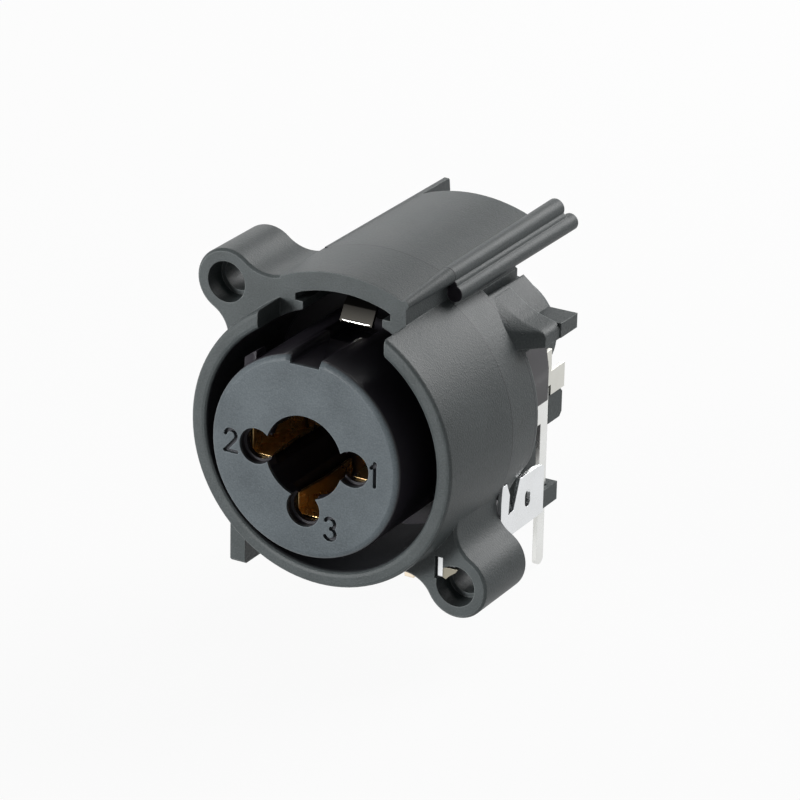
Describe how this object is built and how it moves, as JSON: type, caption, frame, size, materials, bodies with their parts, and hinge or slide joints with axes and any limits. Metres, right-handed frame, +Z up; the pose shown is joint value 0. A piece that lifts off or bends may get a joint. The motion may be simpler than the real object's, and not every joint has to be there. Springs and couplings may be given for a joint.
{
  "type": "xlr panel socket",
  "caption": "Panel socket for a three-pole XLR or a 6.35 mm jack plug, with round collar, two diagonal screw ears, latch hood, rear tails and board feet.",
  "frame": {"origin": "on the plug axis, in the front plane of the two screw ears", "axes": "+X to the right seen from the front, +Y deeper into the socket, +Z up, away from the circuit board; plugs come in from -Y"},
  "size_m": [0.0248, 0.0315, 0.0285],
  "materials": {
    "housing_plastic": "fine moulded texture, dark grey",
    "insert_plastic": "satin, dark grey",
    "cover_plastic": "satin, dark grey",
    "contact_alloy": "copper alloy, gold plated at the mouth and tinned at the tail",
    "leaf_alloy": "copper alloy, tinned",
    "spring_steel": "bright spring steel",
    "tinned_clip": "bright tin plate"
  },
  "bodies": {
    "socket": {"housing": "housing_plastic", "insert": "insert_plastic", "rear_cover": "cover_plastic", "xlr_contact_1": "contact_alloy", "xlr_contact_2": "contact_alloy", "xlr_contact_3": "contact_alloy", "jack_tip_contact": "leaf_alloy", "jack_ring_contact": "leaf_alloy", "jack_sleeve_contact": "leaf_alloy", "ground_clip": "tinned_clip"},
    "latch": {"retention_spring": "spring_steel"}
  },
  "joints": [
    {"name": "retention_spring_lift", "type": "hinge", "parent": "socket", "child": "latch", "pos_m": [0, 0.0152, 0.00999], "axis": [-1, 0, 0], "range_deg": [0, 5.5], "stiffness_Nm_per_rad": 0.4}
  ]
}
